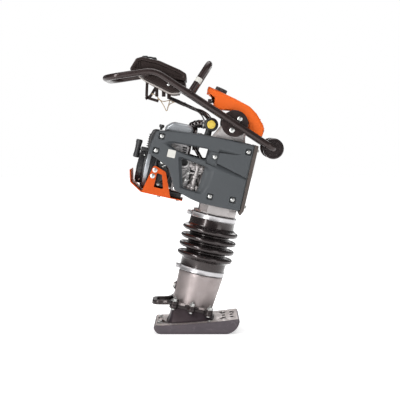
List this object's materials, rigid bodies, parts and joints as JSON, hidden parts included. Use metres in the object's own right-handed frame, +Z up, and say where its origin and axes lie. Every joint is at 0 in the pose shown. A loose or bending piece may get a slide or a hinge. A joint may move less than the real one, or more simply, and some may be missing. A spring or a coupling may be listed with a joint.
{
  "type": "jumping jack rammer",
  "caption": "Upright soil rammer: a shoe on a sprung, bellowed leg below a crankcase, petrol engine, side guards, tank and a shock-mounted tube handle with rollers.",
  "frame": {"origin": "centre of the shoe's flat sole, on the ground", "axes": "+X forward (the way the machine walks), +Y to its left, +Z up; the leg leans 12.5 degrees towards +X"},
  "size_m": [0.678, 0.3456, 1.05],
  "materials": {
    "shoe_plastic": "satin",
    "shoe_steel": "worn",
    "black_iron": "painted",
    "zinc": "zinc plated",
    "leg_metal": "blasted",
    "rubber": "satin",
    "spring_steel": "satin",
    "cast_aluminium": "cast",
    "guard_grey": "fine grain",
    "dark_plate": "powder coated",
    "engine_aluminium": "cast",
    "engine_black": "satin",
    "shield_silver": "satin",
    "cap_yellow": "satin",
    "orange_steel": "powder coated",
    "orange_plastic": "satin",
    "tube_black": "powder coated",
    "console_black": "fine grain",
    "rope": "braided"
  },
  "bodies": {
    "ram": {"shoe_body": "shoe_plastic", "shoe_top_plate": "shoe_steel", "shoe_bolts": "zinc", "foot_casting": "black_iron", "flange_nuts": "zinc", "toe_loop": "black_iron", "leg_tube": "leg_metal", "oil_sight_glass": "zinc", "spring_cylinder": "spring_steel", "spring_cylinder_cap": "spring_steel", "springs_upper": "spring_steel", "springs_lower": "spring_steel", "bellows": "rubber", "lower_clamp": "zinc"},
    "housing": {"upper_clamp": "zinc", "guide_cylinder": "spring_steel", "crankcase": "cast_aluminium", "crankcase_cover": "cast_aluminium", "guard_right": "guard_grey", "guard_left": "guard_grey", "guard_bolts": "zinc", "front_plate": "dark_plate", "engine_block": "engine_aluminium", "engine_cylinder": "engine_aluminium", "valve_cover": "engine_aluminium", "muffler": "spring_steel", "muffler_shield": "shield_silver", "carburettor": "engine_aluminium", "air_filter_can": "engine_black", "air_filter_cap": "cap_yellow", "intake_hose": "rubber", "fan_shroud": "engine_aluminium", "recoil_housing": "engine_black", "starter_rope": "rope", "engine_guard": "orange_steel"},
    "crank": {"crank_gear": "spring_steel"},
    "conrod": {"conrod": "spring_steel"},
    "plunger": {"plunger": "spring_steel"},
    "clutch_drum": {"clutch_drum": "spring_steel"},
    "engine_shaft": {"crankshaft": "spring_steel", "flywheel": "engine_aluminium"},
    "clutch_shoe_upper": {"clutch_shoe_upper": "spring_steel"},
    "clutch_shoe_lower": {"clutch_shoe_lower": "spring_steel"},
    "starter_pulley": {"recoil_pulley": "engine_black"},
    "starter_grip": {"recoil_grip": "engine_black"},
    "choke_lever": {"choke_lever": "engine_black"},
    "handle": {"handle_frame": "tube_black", "mount_plates": "tube_black", "mount_bolts": "zinc", "shock_mounts": "rubber", "console_top": "console_black", "console_base": "console_black", "cable_conduit": "rubber", "fuel_tank": "orange_plastic"},
    "fuel_cap": {"fuel_cap": "engine_black"},
    "fuel_tap": {"fuel_tap": "engine_black"},
    "throttle_lever": {"throttle_lever": "engine_black"},
    "stop_switch": {"stop_switch": "orange_plastic"},
    "roller_right": {"roller_right": "rubber"},
    "roller_left": {"roller_left": "rubber"}
  },
  "joints": [
    {"name": "ram_stroke", "type": "slide", "parent": "ram", "child": "housing", "axis": [0.2164, 0, 0.9763], "range_m": [-0.03, 0.03], "stiffness_N_per_m": 60000, "springref_m": 0.0075, "deforming": ["bellows", "springs_upper", "springs_lower"]},
    {"name": "crank_spin", "type": "hinge", "parent": "housing", "child": "crank", "pos_m": [0.11367, 0, 0.65235], "axis": [0.9763, 0, -0.2164], "continuous": true},
    {"name": "conrod_swing", "type": "hinge", "parent": "crank", "child": "conrod", "pos_m": [0.10761, 0, 0.62501], "axis": [0.9763, 0, -0.2164], "continuous": true},
    {"name": "plunger_stroke", "type": "slide", "parent": "housing", "child": "plunger", "axis": [0.2164, 0, 0.9763], "range_m": [0, 0.056]},
    {"name": "clutch_drum_spin", "type": "hinge", "parent": "housing", "child": "clutch_drum", "pos_m": [0.09289, 0, 0.55862], "axis": [0.9763, 0, -0.2164], "continuous": true},
    {"name": "engine_spin", "type": "hinge", "parent": "housing", "child": "engine_shaft", "pos_m": [0.09289, 0, 0.55862], "axis": [0.9763, 0, -0.2164], "continuous": true},
    {"name": "clutch_shoe_upper_slide", "type": "slide", "parent": "engine_shaft", "child": "clutch_shoe_upper", "axis": [0.2164, 0, 0.9763], "range_m": [0, 0.0015], "stiffness_N_per_m": 20000, "springref_m": -0.001},
    {"name": "clutch_shoe_lower_slide", "type": "slide", "parent": "engine_shaft", "child": "clutch_shoe_lower", "axis": [-0.2164, 0, -0.9763], "range_m": [0, 0.0015]},
    {"name": "starter_pull", "type": "slide", "parent": "housing", "child": "starter_grip", "axis": [-0.9763, 0, 0.2164], "range_m": [0, 0.5], "deforming": ["starter_rope"]},
    {"name": "starter_pulley_spin", "type": "hinge", "parent": "housing", "child": "starter_pulley", "pos_m": [0.09289, 0, 0.55862], "axis": [0.9763, 0, -0.2164], "range_deg": [-5, 825]},
    {"name": "choke_turn", "type": "hinge", "parent": "housing", "child": "choke_lever", "pos_m": [0.00972, 0, 0.72865], "axis": [0, 1, 0], "range_deg": [-60, 0]},
    {"name": "handle_sway", "type": "hinge", "parent": "housing", "child": "handle", "pos_m": [0.1465, 0, 0.788], "axis": [0, 1, 0], "range_deg": [-3, 3], "stiffness_Nm_per_rad": 6000, "deforming": ["cable_conduit"]},
    {"name": "fuel_cap_turn", "type": "hinge", "parent": "handle", "child": "fuel_cap", "pos_m": [0.09, 0, 0.909], "axis": [0.4226, 0, 0.9063], "range_deg": [0, 90]},
    {"name": "fuel_tap_turn", "type": "hinge", "parent": "handle", "child": "fuel_tap", "pos_m": [0.053, -0.06, 0.876], "axis": [1, 0, 0], "range_deg": [-90, 0]},
    {"name": "throttle_turn", "type": "hinge", "parent": "handle", "child": "throttle_lever", "pos_m": [-0.16, 0, 1.036], "axis": [0, 1, 0], "range_deg": [0, 60]},
    {"name": "stop_press", "type": "slide", "parent": "handle", "child": "stop_switch", "axis": [0.8387, 0, -0.5446], "range_m": [0, 0.003], "stiffness_N_per_m": 1500, "springref_m": -0.002},
    {"name": "roller_right_spin", "type": "hinge", "parent": "handle", "child": "roller_right", "pos_m": [0.288, 0, 0.697], "axis": [0, 1, 0], "continuous": true},
    {"name": "roller_left_spin", "type": "hinge", "parent": "handle", "child": "roller_left", "pos_m": [0.288, 0, 0.697], "axis": [0, 1, 0], "continuous": true}
  ],
  "couplings": [
    {"joint": "conrod_swing", "follows": "crank_spin", "ratio": -1},
    {"joint": "clutch_drum_spin", "follows": "crank_spin", "ratio": -5},
    {"joint": "clutch_shoe_lower_slide", "follows": "clutch_shoe_upper_slide", "ratio": 1},
    {"joint": "starter_pulley_spin", "follows": "starter_pull", "rad_per_m": 28.571}
  ]
}
